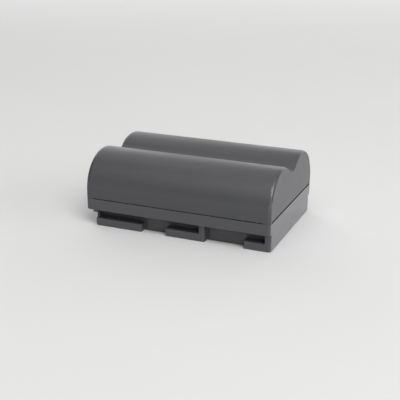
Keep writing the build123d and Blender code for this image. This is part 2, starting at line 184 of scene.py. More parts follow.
class Graph:
    """Node tree that one method fills."""

    def __init__(self, tree: bpy.types.NodeTree) -> None:
        """Start with the empty tree of a material, a world or a geometry rule."""
        self.tree = tree
        tree.nodes.clear()

    def node(
        self,
        kind: str,
        settings: Mapping[str, Any] | None = None,
        sockets: Mapping[str | int, Input] | None = None,
        output: str | int = 0,
    ) -> Socket | None:
        """Add a node.

        Args:
            kind: Type of the node.
            settings: Properties of the node, set first.
            sockets: Values or links of the inputs, by name or index.
            output: Name or index of the output that is returned.

        Returns:
            That output, or None on a node without outputs.
        """
        made = self.tree.nodes.new(kind)
        for name, value in (settings or {}).items():
            setattr(made, name, value)
        for key, value in (sockets or {}).items():
            if isinstance(value, Socket):
                self.tree.links.new(value.output, made.inputs[key])
            else:
                made.inputs[key].default_value = value
        return Socket(self, made.outputs[output]) if made.outputs else None


class Surface(Graph):
    """Node tree of a material: a principled shader, and a second one for what covers it."""

    def __init__(self, name: str) -> None:
        """Make the material.

        Args:
            name: Name of the material.
        """
        self.material = bpy.data.materials.new(name)
        self.material.use_nodes = True
        super().__init__(self.material.node_tree)
        self.place = self.node("ShaderNodeTexCoord", output="Object")

    def axes(self) -> tuple[Socket, Socket, Socket]:
        """The place on the piece as its X, Y and Z."""
        x = self.node("ShaderNodeSeparateXYZ", sockets={"Vector": self.place})
        return x, x.sibling("Y"), x.sibling("Z")

    def noise(self, size: float, detail: float = 2.0, stretch: Sequence[float] = (1, 1, 1)) -> Socket:
        """Cloudy noise from 0 to 1.

        Args:
            size: Size of one cloud in metres.
            detail: Octaves of finer noise on it.
            stretch: How many times longer a cloud is along X, Y and Z.

        Returns:
            The noise.
        """
        shrink = [1 / (size * share) for share in stretch]
        place = self.node("ShaderNodeMapping", sockets={"Vector": self.place, "Scale": shrink})
        return self.node("ShaderNodeTexNoise", sockets={"Vector": place, "Scale": 1.0, "Detail": detail})

    def spots(self, size: float) -> tuple[Socket, Socket]:
        """Scattered cells.

        Args:
            size: Distance between neighbouring cells in metres.

        Returns:
            Distance from the nearest cell's centre as a share of the size, and a number of that cell.
        """
        sockets = {"Vector": self.place, "Scale": 1 / size}
        distance = self.node("ShaderNodeTexVoronoi", {"feature": "F1"}, sockets)
        lot = self.node("ShaderNodeSeparateColor", sockets={"Color": distance.sibling("Color")})
        return distance, lot

    def mix(self, factor: Number, first: Paint, second: Paint) -> Socket:
        """Colour between two colours.

        Args:
            factor: 0 for the first, 1 for the second.
            first: Colour or link at 0.
            second: Colour or link at 1.

        Returns:
            The mixed colour.
        """
        low, high = (end if isinstance(end, Socket) else rgba(end) for end in (first, second))
        settings = {"data_type": "RGBA", "clamp_factor": True}
        return self.node("ShaderNodeMix", settings, {0: factor, 6: low, 7: high}, output=2)

    def tones(self, factor: Number, colour: Colour, dark: float, pale: float = 1.0) -> Socket:
        """Colour between two tones of one hue: times dark at factor 0, and times pale at factor 1."""
        return self.mix(factor, shaded(colour, dark), shaded(colour, pale))

    def bump(self, height: Socket, depth: float) -> Socket:
        """Normal of a surface with a height from 0 to 1 and a depth in metres."""
        return self.node("ShaderNodeBump", sockets={"Height": height, "Distance": depth, "Strength": 1.0})

    def finish(
        self,
        sockets: Mapping[str, Input],
        cover: Mapping[str, Input] | None = None,
        covered: Number = 0.0,
    ) -> bpy.types.Material:
        """Close the tree with its shader.

        Args:
            sockets: Values or links of the principled shader.
            cover: The same for what lies over it in places, such as grime and painted shade.
            covered: 1 where the cover lies.

        Returns:
            The material.
        """
        shader = self.node("ShaderNodeBsdfPrincipled", sockets=sockets)
        if cover is not None:
            over = self.node("ShaderNodeBsdfPrincipled", sockets=cover)
            shader = self.node("ShaderNodeMixShader", sockets={0: covered, 1: shader, 2: over})
        self.node("ShaderNodeOutputMaterial", sockets={"Surface": shader})
        return self.material


class CaseHalf(Enum):
    """The two halves of the case, by the name of their piece."""

    UPPER = "upper_case"
    LOWER = "lower_case"


@dataclass(frozen=True)
class CornerStrip:
    """Strip along a rounded end edge: two rises in from the end face, and two up from the floor."""

    outer: Step
    inner: Step
    low: Step
    top: Step


@dataclass(frozen=True)
class MouldedPlastic:
    """Grey moulded plastic: grain, polished corners, painted shade low on the sides, painted light on the
    ends, painted highlights, a dark seam, painted shade in the slots, small nicks.

    Lengths are in metres. A step is the start and stop of a rise, and a shade is a factor on the colour.
    """

    half: CaseHalf
    colour: Colour
    roughness: float
    seam: float
    end: float
    slots: tuple[Step, ...] = ()
    refraction: float = 1.5
    grain: float = 0.14 * MM
    grain_depth: float = 0.006 * MM
    pit_step: Step = (0.35, 0.65)
    pit_share: float = 0.5
    pit_shade: float = 1.1
    cloud: float = 5.0 * MM
    unevenness: float = 0.13
    draft: float = math.tan(math.radians(0.5))
    end_step: Step = (0.17 * MM, 0.09 * MM)
    # Painted light: the flat end faces are painted lighter, as though lit from the right.
    end_painted_light: float = 1.18
    end_evenness: float = 0.8
    smudge: float = 3.0 * MM
    smudge_step: Step = (0.3, 0.65)
    smudge_shade: float = 0.93
    flank_step: Step = (8.0 * MM, 10.0 * MM)
    polish: float = 0.33
    polish_smoothing: float = 0.8
    # Pale colour on the polished strip, which lies where the glint falls: worn plastic and painted
    # highlight.
    polish_wear_and_highlight: float = 0.15
    polish_strip: CornerStrip = CornerStrip(
        outer=(0.35 * MM, 0.41 * MM),
        inner=(1.2 * MM, 0.9 * MM),
        low=(12.5 * MM, 14.5 * MM),
        top=(18.7 * MM, 17.5 * MM),
    )
    # Painted shade: a dark matt line between the corner's glint and the end face.
    dark_line_share: float = 0.52
    dark_line_strip: CornerStrip = CornerStrip(
        outer=(0.02 * MM, 0.07 * MM),
        inner=(0.39 * MM, 0.33 * MM),
        low=(13.5 * MM, 15.5 * MM),
        top=(18.9 * MM, 17.7 * MM),
    )
    # Painted shade: the sides above the seam are painted darker towards it, under a duller film.
    film: float = 0.24
    shade_and_film_step: Step = (14.0 * MM, 10.5 * MM)
    shade_and_film_tone: float = 0.6
    shade_and_film_rough: float = 0.8
    # Near-black matt colour of the cover (grime and painted shade) and of the dark nicks.
    dirt_and_shade: Colour = (0.008, 0.008, 0.009)
    dirt_and_shade_roughness: float = 0.9
    dirt_and_shade_specular: float = 0.15
    seam_height: float = 0.21 * MM
    seam_edge: float = 0.01 * MM
    seam_smear: float = 0.3 * MM
    seam_gap: float = 0.9 * MM
    seam_gap_step: Step = (0.25, 0.4)
    seam_corner_step: Step = (1.8 * MM, 2.6 * MM)
    seam_side_step: Step = (19.0 * MM, 18.5 * MM)
    # Painted highlight: a light line on the edge below the seam at the ends.
    edge_highlight_top: Step = (0.0, 0.03 * MM)
    edge_highlight_bottom: Step = (0.35 * MM, 0.15 * MM)
    edge_highlight_share: float = 0.6
    # Painted shade deep inside the hook slots.
    slot_shade_share: float = 0.95
    slot_end_step: Step = (-0.1 * MM, 0.1 * MM)
    slot_mouth_step: Step = (18.2 * MM, 17.6 * MM)
    slot_level_step: Step = (2.3 * MM, 5.1 * MM)
    slot_roof_step: Step = (5.2 * MM, 5.1 * MM)
    nick_spacing: float = 2.6 * MM
    nick_size_step: Step = (0.07, 0.04)
    nick_level_step: Step = (1.6 * MM, 0.48 * MM)
    nick_pale_lots: Step = (0.62, 0.66)
    nick_dark_lots: Step = (0.38, 0.34)
    nick_shade: float = 3.0
    rub: float = 0.35 * MM
    rub_step: Step = (0.55, 0.75)
    rub_level_step: Step = (5.2 * MM, 4.6 * MM)
    rub_gloss: float = 0.05
    rub_wear: float = 0.1
    # Pale tone of worn plastic and of the painted highlights.
    worn_and_highlight_shade: float = 1.9

    def _inset(self, graph: Surface) -> Socket:
        """Distance along X from the nearer end face, which leans in by the draft away from the seam."""
        x, _, z = graph.axes()
        return self.end - abs(x) - abs(z - self.seam) * self.draft

    def _flat_end(self, graph: Surface) -> Socket:
        """1 on the flat faces of both ends."""
        return self._inset(graph).rise(*self.end_step)

    def _on_corners(self, graph: Surface, strip: CornerStrip) -> Socket:
        """Strip of the rounded edges between the ends and the outer sides of the humps.

        Args:
            graph: Tree of the material.
            strip: Where the strip starts and stops.

        Returns:
            1 on the strip.
        """
        _, y, z = graph.axes()
        inset = self._inset(graph)
        across = inset.rise(*strip.outer) * inset.rise(*strip.inner)
        return across * z.rise(*strip.low) * z.rise(*strip.top) * abs(y).rise(*self.flank_step)

    def _shade_and_film(self, graph: Surface) -> Socket:
        """Share of painted shade on the sides above the seam, darker towards it and not on the ends; the
        same share dulls the roughness like a film of dust and grease.
        """
        _, _, z = graph.axes()
        return z.rise(*self.shade_and_film_step) * (1 - self._flat_end(graph)) * self.film

    def _seam_dirt_and_shade(self, graph: Surface) -> Socket:
        """Dark seam line: grime and painted shade in the step below the seam, except in the corners, and
        painted shade smeared above it on the end faces.

        Args:
            graph: Tree of the material.

        Returns:
            1 on the dark seam line.
        """
        x, y, z = graph.axes()
        below = self.seam - z
        flat_end = self._flat_end(graph) * abs(y).rise(*self.seam_side_step)
        top = (below + flat_end * self.seam_smear).rise(-self.seam_edge, 0.0)
        bottom = below.rise(self.seam_height + self.seam_edge, self.seam_height)
        clear_of_corner = (self.end - abs(x)).rise(*self.seam_corner_step)
        gaps = graph.noise(self.seam_gap, detail=1.0).rise(*self.seam_gap_step)
        return top * bottom * (gaps * clear_of_corner).at_least(flat_end)

    def _painted_edge_highlight(self, graph: Surface) -> Socket:
        """Edge below the seam at both ends, painted lighter: a painted highlight.

        Args:
            graph: Tree of the material.

        Returns:
            1 on the edge.
        """
        _, _, z = graph.axes()
        below = self.seam - self.seam_height - z
        edge = below.rise(*self.edge_highlight_top) * below.rise(*self.edge_highlight_bottom)
        return edge * self._flat_end(graph)

    def _slot_shade(self, graph: Surface) -> Socket:
        """Painted shade deep inside the hook slots.

        Args:
            graph: Tree of the material.

        Returns:
            1 on the painted shade.
        """
        x, y, z = graph.axes()
        ends = self.slot_end_step
        along = sum((x - start).rise(*ends) * (stop - x).rise(*ends) for start, stop in self.slots)
        level = z.rise(*self.slot_level_step) * z.rise(*self.slot_roof_step)
        return along * abs(y).rise(*self.slot_mouth_step) * level

    def _nicks(self, graph: Surface) -> tuple[Socket, Socket]:
        """A few small nicks close to the seam.

        Args:
            graph: Tree of the material.

        Returns:
            1 on the pale nicks, and 1 on the dark ones.
        """
        _, _, z = graph.axes()
        distance, lot = graph.spots(self.nick_spacing)
        marks = distance.rise(*self.nick_size_step) * abs(z - self.seam).rise(*self.nick_level_step)
        return marks * lot.rise(*self.nick_pale_lots), marks * lot.rise(*self.nick_dark_lots)

    def _rub_marks(self, graph: Surface) -> Socket:
        """Faint streaks along the rails, where the holder slides.

        Args:
            graph: Tree of the material.

        Returns:
            1 on the streaks.
        """
        _, _, z = graph.axes()
        streaks = graph.noise(self.rub, detail=1.0, stretch=(40, 1, 1)).rise(*self.rub_step)
        return streaks * z.rise(*self.rub_level_step)

    def _shade_and_dirt_cover(self, graph: Surface) -> Socket:
        """Matt near-black cover over the plastic: grime and painted shade in the seam, painted shade in the
        slots and in the line beside a polished corner.

        Args:
            graph: Tree of the material.

        Returns:
            1 where the cover lies.
        """
        dirt_and_shade = self._seam_dirt_and_shade(graph)
        if self.half is CaseHalf.LOWER:
            # Painted shade in the hook slots.
            return dirt_and_shade + self._slot_shade(graph) * self.slot_shade_share
        return dirt_and_shade.at_least(self._on_corners(graph, self.dark_line_strip) * self.dark_line_share)

    def _colour(self, graph: Surface, clouds: Socket, grain: Socket, wear_and_highlight: Socket) -> Socket:
        """Colour of the plastic with its grain, painted shade low on the sides, painted light on the ends,
        worn patches, painted highlights and nicks.

        Args:
            graph: Tree of the material.
            clouds: Slow change over the surface.
            grain: Fine pits of the eroded mould.
            wear_and_highlight: Share of the pale tone: worn plastic on the rails, worn plastic and painted
                highlight on the polished corners, painted highlight on the edges below the seam at the
                ends.

        Returns:
            The colour.
        """
        dull = graph.tones(clouds, self.colour, dark=0.96, pale=1.04)
        pits = grain.rise(*self.pit_step) * self.pit_share
        pitted = graph.mix(pits, dull, shaded(self.colour, self.pit_shade))
        # Painted shade: darker low on the sides.
        low_shaded = graph.mix(self._shade_and_film(graph), pitted, shaded(self.colour, self.shade_and_film_tone))
        smudges = graph.noise(self.smudge, detail=2.0).rise(*self.smudge_step)
        # Painted light: the flat ends take a lighter tone.
        lit_end_plastic = graph.tones(smudges, shaded(self.colour, self.end_painted_light), dark=self.smudge_shade)
        lit_ends = graph.mix(self._flat_end(graph), low_shaded, lit_end_plastic)
        worn = graph.mix(wear_and_highlight, lit_ends, shaded(self.colour, self.worn_and_highlight_shade))
        pale, dark = self._nicks(graph)
        nicked = graph.mix(pale, worn, shaded(self.colour, self.nick_shade))
        return graph.mix(dark, nicked, self.dirt_and_shade)

    def material(self) -> bpy.types.Material:
        """Build the finish as a material.

        Returns:
            The material.
        """
        graph = Surface(f"{self.half.value}_plastic")
        clouds = graph.noise(self.cloud, detail=4.0, stretch=(2, 1, 1))
        grain = graph.noise(self.grain, detail=3.0)
        polish = self._on_corners(graph, self.polish_strip)
        rubbed = self._rub_marks(graph)
        edge = self._painted_edge_highlight(graph)
        # Pale tone: worn rails, worn plastic and painted highlight on the polished corners, painted
        # highlight below the seam at the ends.
        wear_and_highlight = polish * self.polish_wear_and_highlight + rubbed * self.rub_wear + edge * self.edge_highlight_share
        uneven = (clouds - 0.5) * self.unevenness * (1 - self._flat_end(graph) * self.end_evenness)
        dull = self.roughness + uneven + self._shade_and_film(graph) * self.shade_and_film_rough
        plastic = {
            "Base Color": self._colour(graph, clouds, grain, wear_and_highlight),
            "Roughness": dull - polish * self.polish - rubbed * self.rub_gloss,
            "IOR": self.refraction,
            "Normal": graph.bump(grain * (1 - polish * self.polish_smoothing), self.grain_depth),
        }
        # Matt near-black cover: grime and painted shade on the seam, painted shade in the slots and beside
        # the corner glint.
        dirt_and_shade = {
            "Base Color": rgba(self.dirt_and_shade),
            "Roughness": self.dirt_and_shade_roughness,
            "Specular IOR Level": self.dirt_and_shade_specular,
        }
        return graph.finish(plastic, dirt_and_shade, self._shade_and_dirt_cover(graph))


@dataclass(frozen=True)
class DrawnSteel:
    """Nickel-plated steel of a drawn can, with fine lines along its length."""

    colour: Colour = (0.56, 0.55, 0.52)
    roughness: float = 0.22
    cloud: float = 4.0 * MM
    line: float = 0.12 * MM
    line_depth: float = 0.002 * MM
    line_rough: float = 0.16

    def material(self) -> bpy.types.Material:
        """Build the finish as a material.

        Returns:
            The material.
        """
        graph = Surface("drawn_steel")
        lines = graph.noise(self.line, detail=2.0, stretch=(60, 1, 1))
        clouds = graph.noise(self.cloud, detail=3.0)
        return graph.finish(
            {
                "Base Color": graph.tones(clouds, self.colour, dark=0.9, pale=1.06),
                "Metallic": 1.0,
                "Roughness": self.roughness + lines * self.line_rough,
                "Normal": graph.bump(lines, self.line_depth),
            }
        )


@dataclass(frozen=True)
class ShrinkFilm:
    """Thin coloured film shrunk on a cell, with slight ripples round it."""

    colour: Colour = (0.035, 0.11, 0.16)
    roughness: float = 0.26
    ripple: float = 1.6 * MM
    ripple_depth: float = 0.03 * MM
    haze: float = 6.0 * MM
    haze_rough: float = 0.1

    def material(self) -> bpy.types.Material:
        """Build the finish as a material.

        Returns:
            The material.
        """
        graph = Surface("shrink_film")
        ripples = graph.noise(self.ripple, detail=2.0, stretch=(1, 5, 5))
        haze = graph.noise(self.haze, detail=3.0)
        return graph.finish(
            {
                "Base Color": graph.tones(haze, self.colour, dark=0.85, pale=1.2),
                "Roughness": self.roughness + haze * self.haze_rough,
                "Normal": graph.bump(ripples, self.ripple_depth),
            }
        )


@dataclass(frozen=True)
class FibreSheet:
    """Pressed insulating paper with long fibres."""

    colour: Colour = (0.42, 0.45, 0.36)
    roughness: float = 0.9
    fibre: float = 0.09 * MM
    fibre_depth: float = 0.01 * MM
    fibre_step: Step = (0.4, 0.6)
    fibre_gloss: float = 0.1

    def material(self) -> bpy.types.Material:
        """Build the finish as a material.

        Returns:
            The material.
        """
        graph = Surface("fibre_sheet")
        across = graph.noise(self.fibre, detail=2.0, stretch=(1, 9, 1))
        upright = graph.noise(self.fibre, detail=2.0, stretch=(1, 1, 9))
        fibres = (across + upright) / 2
        return graph.finish(
            {
                "Base Color": graph.tones(fibres.rise(*self.fibre_step), self.colour, dark=0.82),
                "Roughness": self.roughness - fibres * self.fibre_gloss,
                "Normal": graph.bump(fibres, self.fibre_depth),
            }
        )


@dataclass(frozen=True)
class RolledNickel:
    """Rolled nickel strip with spot welds that left a heat-tinted ring round each dimple."""

    welds: tuple[tuple[float, float], ...]
    colour: Colour = (0.62, 0.59, 0.53)
    roughness: float = 0.24
    grain: float = 0.06 * MM
    grain_rough: float = 0.16
    grain_share: float = 0.03
    tint: Colour = (0.36, 0.24, 0.13)
    tint_share: float = 0.6
    tint_rough: float = 0.15
    weld_radius: float = 0.45 * MM
    weld_depth: float = 0.08 * MM
    dimple_share: float = 0.5
    ring_share: float = 2.2

    def _weld_distance(self, graph: Surface) -> Socket:
        """Distance to the nearest weld, seen along the cells.

        Args:
            graph: Tree of the material.

        Returns:
            The distance in metres.
        """
        _, y, z = graph.axes()
        nearest = None
        for weld_y, weld_z in self.welds:
            away_y, away_z = y - weld_y, z - weld_z
            squared = away_y * away_y + away_z * away_z
            nearest = squared if nearest is None else nearest.at_most(squared)
        return nearest.root()

    def material(self) -> bpy.types.Material:
        """Build the finish as a material.

        Returns:
            The material.
        """
        graph = Surface("rolled_nickel")
        lines = graph.noise(self.grain, detail=1.0, stretch=(30, 1, 30))
        distance = self._weld_distance(graph)
        dimple = distance.rise(self.dimple_share * self.weld_radius, self.weld_radius)
        ring = dimple * distance.rise(self.ring_share * self.weld_radius, self.weld_radius)
        return graph.finish(
            {
                "Base Color": graph.mix(ring * self.tint_share, self.colour, self.tint),
                "Metallic": 1.0,
                "Roughness": self.roughness + lines * self.grain_rough + ring * self.tint_rough,
                "Normal": graph.bump(dimple + lines * self.grain_share, self.weld_depth),
            }
        )


@dataclass(frozen=True)
class BoardLaminate:
    """Glass laminate under a green solder mask, with copper tracks showing through it."""

    mask: Colour = (0.01, 0.085, 0.035)
    mask_gloss: float = 0.42
    skin: float = 0.03 * MM
    track: Colour = (0.03, 0.2, 0.075)
    track_depth: float = 0.02 * MM
    track_step: Step = (0.28, 0.32)
    pitch: float = 0.8 * MM
    slant: float = 0.35
    bend: float = 9.0 * MM
    bend_pitches: float = 6.0
    edge: Colour = (0.35, 0.33, 0.16)
    edge_roughness: float = 0.75
    weave: float = 0.12 * MM

    def material(self) -> bpy.types.Material:
        """Build the finish as a material.

        Returns:
            The material.
        """
        graph = Surface("board_laminate")
        low, high = box_of("circuit_board")
        x, y, z = graph.axes()
        bends = graph.noise(self.bend, detail=0.0) * self.bend_pitches
        lines = ((y + z * self.slant) / self.pitch + bends).folded(0.5)
        tracks = lines.rise(*self.track_step)
        skin = (self.skin, self.skin / 2)
        face = (x - low.x).rise(*skin).at_least((high.x - x).rise(*skin))
        weave = graph.noise(self.weave, detail=1.0, stretch=(1, 6, 1))
        masked = graph.mix(tracks, self.mask, self.track)
        cut = graph.tones(weave, self.edge, dark=0.7)
        return graph.finish(
            {
                "Base Color": graph.mix(face, cut, masked),
                "Roughness": self.edge_roughness - face * self.mask_gloss,
                "Normal": graph.bump(tracks, self.track_depth),
            }
        )


@dataclass(frozen=True)
class MouldedChip:
    """Black moulded part with tinned leads along two sides."""

    node: str
    resin: Colour = (0.018, 0.018, 0.02)
    roughness: float = 0.62
    grain: float = 0.07 * MM
    grain_depth: float = 0.006 * MM
    grain_rough: float = 0.1
    lead_reach: float = 0.9 * MM
    lead_edge: float = 0.02 * MM
    lead_gloss: float = 0.36

    def material(self) -> bpy.types.Material:
        """Build the finish as a material.

        Returns:
            The material.
        """
        graph = Surface(f"{self.node}_resin")
        _, y, _ = graph.axes()
        half = size_of(self.node).y / 2 - self.lead_reach
        lead = abs(y - middle_of(self.node).y).rise(half, half + self.lead_edge)
        grain = graph.noise(self.grain, detail=2.0)
        resin = graph.tones(grain, self.resin, dark=0.8, pale=1.5)
        return graph.finish(
            {
                "Base Color": graph.mix(lead, resin, TIN),
                "Metallic": lead,
                "Roughness": self.roughness + grain * self.grain_rough - lead * self.lead_gloss,
                "Normal": graph.bump(grain, self.grain_depth),
            }
        )


class LongWay(Enum):
    """Axis that a small block part lies along."""

    ACROSS = 1
    UPRIGHT = 2


@dataclass(frozen=True)
class TinnedCeramic:
    """Ceramic block with tinned ends; the rows of a group repeat by a step along its long way."""

    node: str
    way: LongWay
    length: float
    body: Colour
    step: float = 9.0 * MM
    roughness: float = 0.5
    grain: float = 0.1 * MM
    grain_depth: float = 0.004 * MM
    grain_rough: float = 0.08
    cap_share: float = 0.22
    cap_edge: float = 0.03 * MM
    cap_gloss: float = 0.2

    def material(self) -> bpy.types.Material:
        """Build the finish as a material.

        Returns:
            The material.
        """
        graph = Surface(f"{self.node}_ceramic")
        low, _ = box_of(self.node)
        axis = self.way.value
        within = (graph.axes()[axis] - low[axis]).wrapped(self.step)
        start = self.length * (0.5 - self.cap_share)
        cap = abs(within - self.length / 2).rise(start, start + self.cap_edge)
        grain = graph.noise(self.grain, detail=2.0)
        body = graph.tones(grain, self.body, dark=0.85, pale=1.15)
        return graph.finish(
            {
                "Base Color": graph.mix(cap, body, TIN),
                "Metallic": cap,
                "Roughness": self.roughness - cap * self.cap_gloss + grain * self.grain_rough,
                "Normal": graph.bump(grain, self.grain_depth),
            }
        )


@dataclass(frozen=True)
class ContactPlating:
    """Gold flash over nickel, wiped bright along the height where a spring rubs it."""

    colour: Colour = (0.78, 0.58, 0.27)
    roughness: float = 0.2
    haze: float = 1.5 * MM
    haze_rough: float = 0.12
    bare: Colour = (0.6, 0.56, 0.48)
    wipe: float = 0.1 * MM
    wipe_depth: float = 0.002 * MM
    wipe_step: Step = (0.52, 0.7)
    wipe_share: float = 0.6
    wipe_rough: float = 0.12

    def material(self) -> bpy.types.Material:
        """Build the finish as a material.

        Returns:
            The material.
        """
        graph = Surface("contact_plating")
        wipes = graph.noise(self.wipe, detail=2.0, stretch=(1, 1, 30)).rise(*self.wipe_step)
        haze = graph.noise(self.haze, detail=3.0)
        return graph.finish(
            {
                "Base Color": graph.mix(wipes * self.wipe_share, self.colour, self.bare),
                "Metallic": 1.0,
                "Roughness": self.roughness + haze * self.haze_rough + wipes * self.wipe_rough,
                "Normal": graph.bump(wipes, self.wipe_depth),
            }
        )


@dataclass(frozen=True)
class CellFoam:
    """Grey foam strip with open cells."""

    colour: Colour = (0.06, 0.06, 0.065)
    roughness: float = 0.88
    cell: float = 0.35 * MM
    cell_rough: float = 0.1
    pit_depth: float = 0.1 * MM
    pit_step: Step = (0.15, 0.6)

    def material(self) -> bpy.types.Material:
        """Build the finish as a material.

        Returns:
            The material.
        """
        graph = Surface("cell_foam")
        distance, lot = graph.spots(self.cell)
        pits = distance.rise(*self.pit_step)
        return graph.finish(
            {
                # Painted shade: the open cells' pits are painted darker.
                "Base Color": graph.tones(pits, self.colour, dark=0.4),
                "Roughness": self.roughness + lot * self.cell_rough,
                "Normal": graph.bump(pits, self.pit_depth),
            }
        )


@dataclass(frozen=True)
class BrightSolder:
    """Tin solder that set with a slightly cloudy skin."""

    colour: Colour = (0.7, 0.7, 0.69)
    roughness: float = 0.18
    cloud: float = 0.25 * MM
    cloud_depth: float = 0.01 * MM
    cloud_rough: float = 0.2

    def material(self) -> bpy.types.Material:
        """Build the finish as a material.

        Returns:
            The material.
        """
        graph = Surface("bright_solder")
        clouds = graph.noise(self.cloud, detail=3.0)
        return graph.finish(
            {
                "Base Color": graph.tones(clouds, self.colour, dark=0.88),
                "Metallic": 1.0,
                "Roughness": self.roughness + clouds * self.cloud_rough,
                "Normal": graph.bump(clouds, self.cloud_depth),
            }
        )


@dataclass(frozen=True)
class PaleFloor:
    """Plain pale matt sheet under the object."""

    colour: Colour = (0.80, 0.80, 0.795)
    roughness: float = 0.95
    specular: float = 0.1
    cloud: float = 60.0 * MM

    def material(self) -> bpy.types.Material:
        """Build the finish as a material.

        Returns:
            The material.
        """
        graph = Surface("pale_floor")
        clouds = graph.noise(self.cloud, detail=3.0)
        return graph.finish(
            {
                "Base Color": graph.tones(clouds, self.colour, dark=0.985, pale=1.015),
                "Roughness": self.roughness,
                "Specular IOR Level": self.specular,
            }
        )


class Rule(Graph):
    """Geometry rule with named inputs, whose result becomes a plain mesh."""

    def __init__(self, name: str) -> None:
        """Make the tree with its way in and out.

        Args:
            name: Name of the tree.
        """
        super().__init__(bpy.data.node_groups.new(name, "GeometryNodeTree"))
        self.tree.interface.new_socket("Geometry", in_out="OUTPUT", socket_type="NodeSocketGeometry")
        self.way_in = self.tree.nodes.new("NodeGroupInput")
        self.identifiers: dict[str, str] = {}

    def takes(self, kind: str, *names: str) -> list[Socket]:
        """Add named inputs of one kind.

        Args:
            kind: Float, Int, Vector or Material.
            names: Names of the inputs.

        Returns:
            The inputs' values inside the tree.
        """
        for name in names:
            item = self.tree.interface.new_socket(name, in_out="INPUT", socket_type=f"NodeSocket{kind}")
            self.identifiers[name] = item.identifier
        return [Socket(self, self.way_in.outputs[name]) for name in names]

    def rectangle(self, length: Number, width: Number) -> Socket:
        """Closed curve round a rectangle."""
        sockets = {"Width": length, "Height": width}
        return self.node("GeometryNodeCurvePrimitiveQuadrilateral", {"mode": "RECTANGLE"}, sockets)

    def rounded_rectangle(self, length: Number, width: Number, radius: Number, points: int) -> Socket:
        """Closed curve round a rectangle with rounded corners of some points each."""
        sockets = {"Curve": self.rectangle(length, width), "Radius": radius, "Count": points}
        return self.node("GeometryNodeFilletCurve", {"mode": "POLY"}, sockets)

    def gives(self, geometry: Socket) -> None:
        """End the tree: make instances real and give them the material that every rule takes.

        Args:
            geometry: What the rule made.
        """
        [material] = self.takes("Material", "Material")
        real = self.node("GeometryNodeRealizeInstances", sockets={"Geometry": geometry})
        dressed = self.node("GeometryNodeSetMaterial", sockets={"Geometry": real, "Material": material})
        self.node("NodeGroupOutput", sockets={"Geometry": dressed})

    def mesh(self, name: str, values: Mapping[str, Any]) -> bpy.types.Mesh:
        """Run the rule once.

        Args:
            name: Name of the mesh.
            values: Value of each input, by name.

        Returns:
            The result as a plain mesh.
        """
        carrier = bpy.data.objects.new(f"{name}_rule", bpy.data.meshes.new(f"{name}_rule"))
        bpy.context.scene.collection.objects.link(carrier)
        modifier = carrier.modifiers.new("rule", "NODES")
        modifier.node_group = self.tree
        for key, value in values.items():
            modifier[self.identifiers[key]] = value
        graph = bpy.context.evaluated_depsgraph_get()
        mesh = bpy.data.meshes.new_from_object(carrier.evaluated_get(graph))
        mesh.name = name
        carrier.modifiers.clear()
        bpy.data.objects.remove(carrier)
        return mesh


def add_piece(name: str, mesh: bpy.types.Mesh) -> None:
    """Add a finished mesh to the object, riding on the part's body.

    Args:
        name: Name of the piece.
        mesh: Its mesh, in the part's frame.
    """
    piece = bpy.data.objects.new(name, mesh)
    bpy.context.scene.collection.objects.link(piece)
    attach(piece, BODY)
    LOG.info("piece %s: %d faces", name, len(mesh.polygons))


def joined(name: str, meshes: Iterable[bpy.types.Mesh], material: bpy.types.Material) -> bpy.types.Mesh:
    """Join meshes of one finish.

    Args:
        name: Name of the joined mesh.
        meshes: What is joined.
        material: Their finish.

    Returns:
        One plain mesh.
    """
    form = bmesh.new()
    for part in meshes:
        form.from_mesh(part)
    for face in form.faces:
        face.material_index = 0
    mesh = bpy.data.meshes.new(name)
    form.to_mesh(mesh)
    form.free()
    mesh.materials.append(material)
    return mesh


def dress(node: str, material: bpy.types.Material) -> None:
    """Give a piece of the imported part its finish.

    Args:
        node: Name of the piece.
        material: Finish as a material.
    """
    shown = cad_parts[node]
    if not shown.material_slots:
        shown.data.materials.append(material)
    for place in shown.material_slots:
        place.material = material
    LOG.info("node %s: %s", node, material.name)


